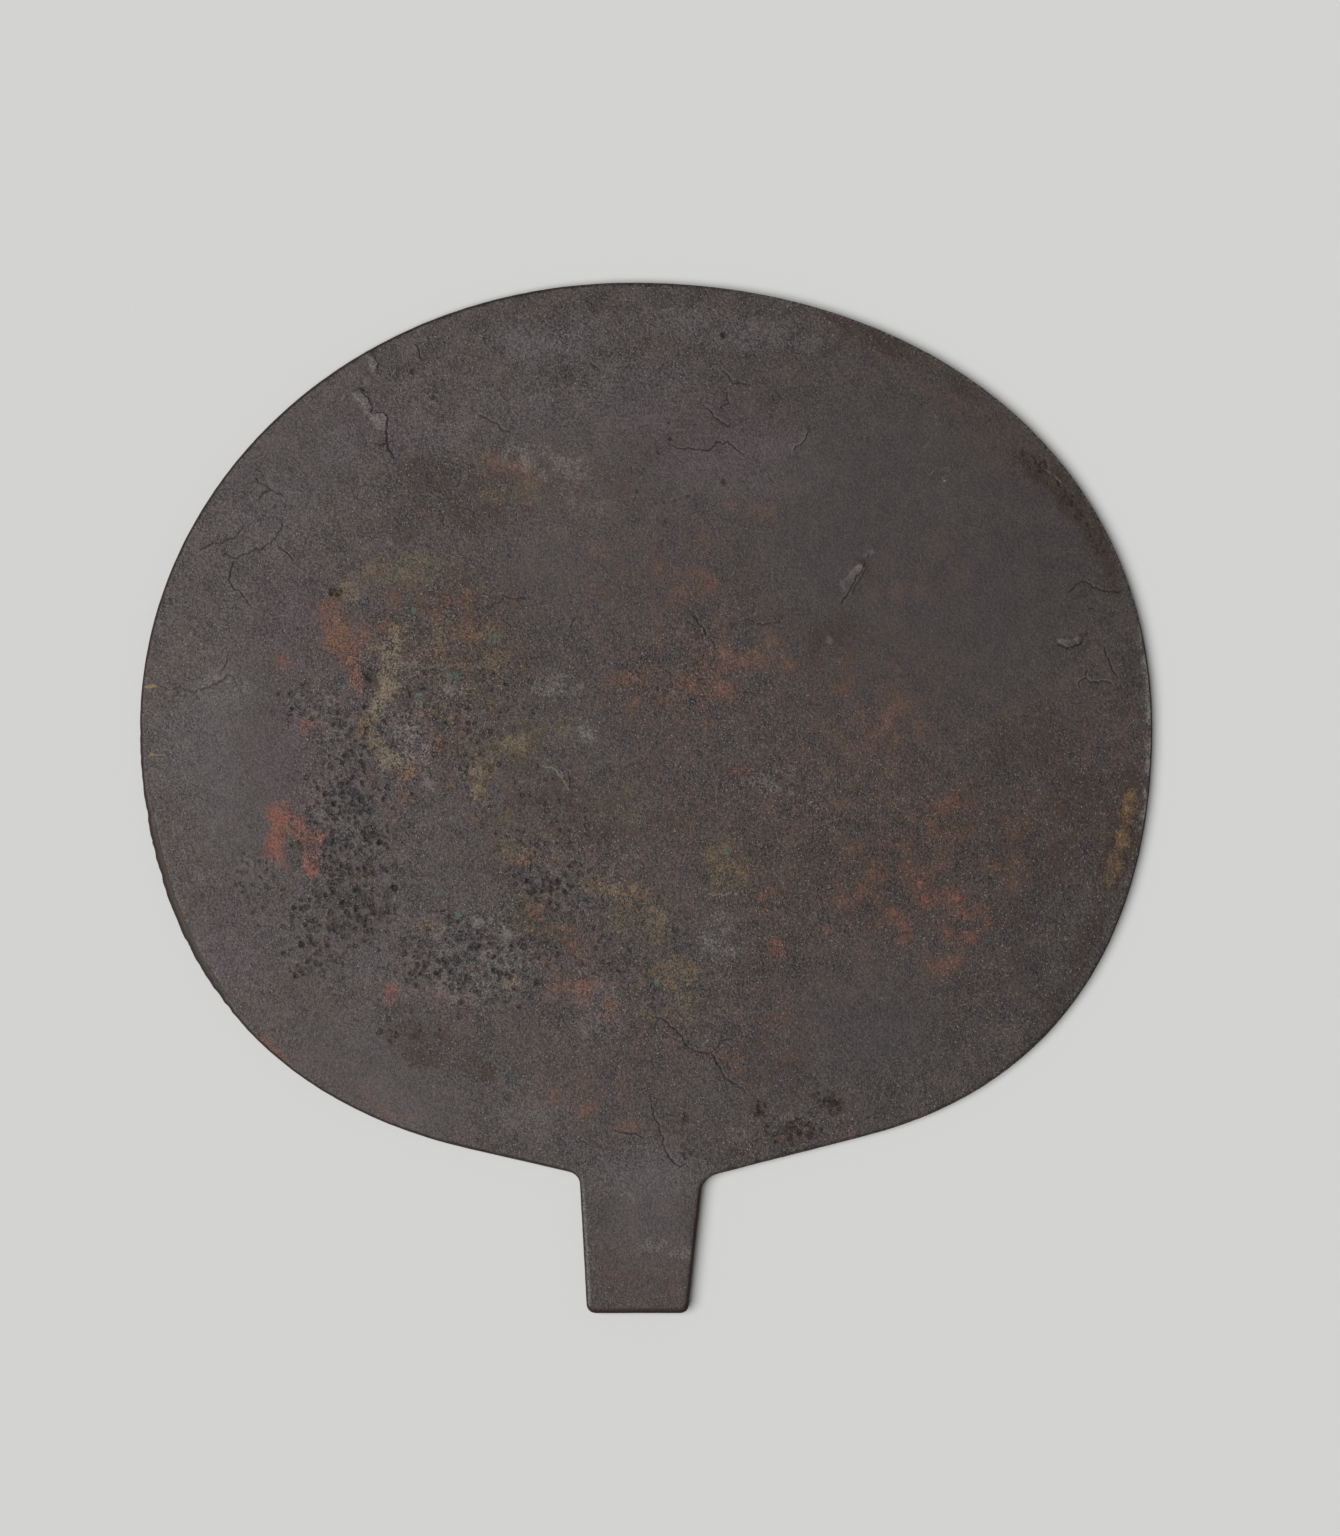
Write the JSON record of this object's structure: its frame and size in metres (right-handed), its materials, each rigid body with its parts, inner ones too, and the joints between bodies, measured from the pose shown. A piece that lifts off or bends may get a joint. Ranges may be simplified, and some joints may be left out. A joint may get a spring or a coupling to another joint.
{
  "type": "mirror disc",
  "caption": "Flat oval hand-mirror disc of patinated copper alloy with a short tapered tang for a handle, lying face up.",
  "frame": {"origin": "middle of the outline's box, on the flat back that the disc lies on", "axes": "+Z out of the mirror face, +Y from the tang towards the top of the disc, +X to the right seen from the front"},
  "size_m": [0.145, 0.1476, 0.0024],
  "materials": {
    "patinated_bronze": "dark brown-grey corroded patina, matt to satin, with red, orange, olive and green patches and dark pits"
  },
  "bodies": {
    "root": {"mirror_disc": "patinated_bronze"}
  },
  "joints": []
}
